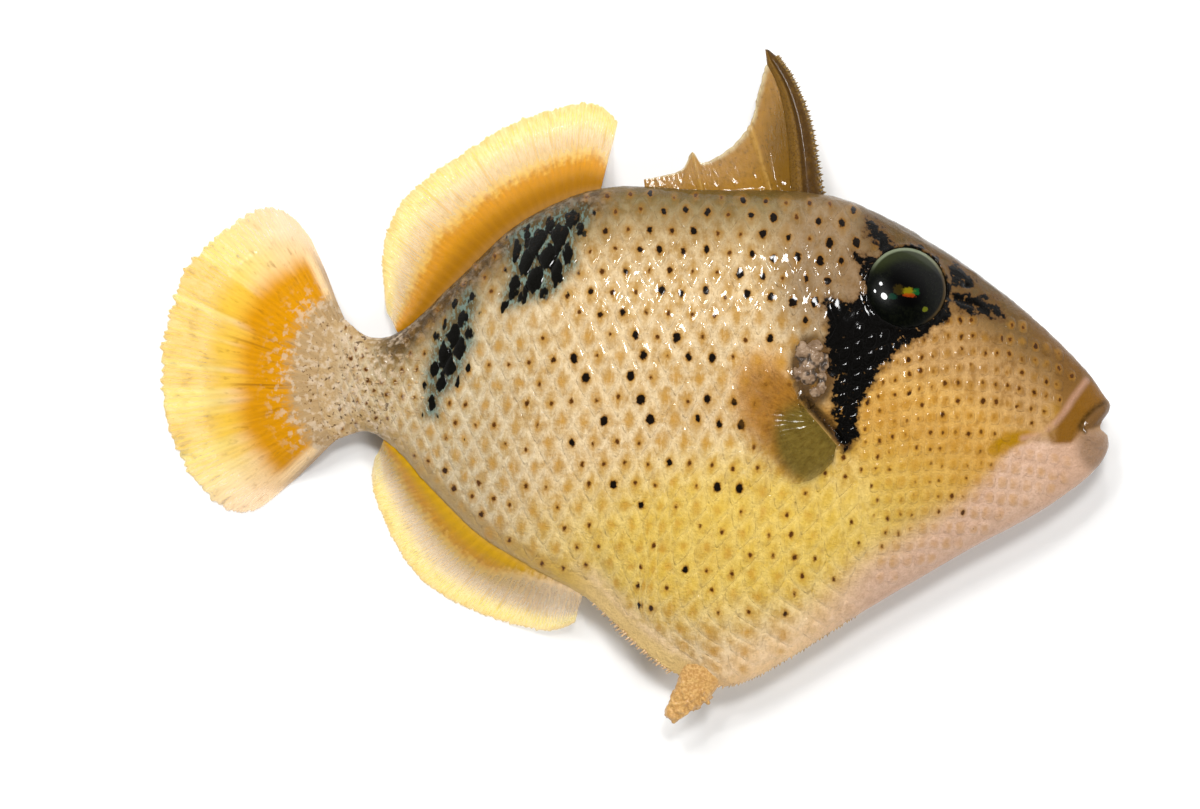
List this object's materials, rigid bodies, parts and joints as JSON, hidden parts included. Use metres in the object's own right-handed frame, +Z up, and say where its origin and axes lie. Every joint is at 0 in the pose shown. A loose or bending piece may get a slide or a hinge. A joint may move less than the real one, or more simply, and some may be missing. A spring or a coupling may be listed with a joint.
{
  "type": "yellowmargin triggerfish, young, life-size display model",
  "caption": "Life-size still model of a young yellowmargin triggerfish lying on its left side, its fins spread on the surface under it.",
  "frame": {"origin": "middle of the fish's box in plan, at the surface it lies on", "axes": "+X to the snout, +Y to the back fins, +Z up, out of the fish's right side"},
  "size_m": [0.0908, 0.064, 0.0144],
  "materials": {
    "skin": "wet skin, tan with a cream net of scale edges, black spots and dark saddles",
    "belly_skin": "wet, loose skin, pinkish cream",
    "rough_bone": "rough, grainy bone and skin",
    "eye": "clear, wet eye with a dark iris and a pale green rim",
    "spine": "olive-brown bone, finely rough along its front",
    "spiny_membrane": "thin olive-brown skin, slightly clear",
    "fin": "thin orange to pale yellow fin, slightly clear, with raised rays",
    "pectoral": "thin, clear olive fin with fine rays"
  },
  "bodies": {
    "root": {"head": "skin", "trunk": "skin", "tail": "skin", "belly_flap": "belly_skin", "pelvic_spine": "rough_bone", "eye_right": "eye", "eye_left": "eye", "first_dorsal_spine": "spine", "spiny_dorsal_fin": "spiny_membrane", "soft_dorsal_fin": "fin", "anal_fin": "fin", "caudal_fin": "fin", "pectoral_fin_right": "pectoral", "pectoral_fin_left": "pectoral"}
  },
  "joints": []
}
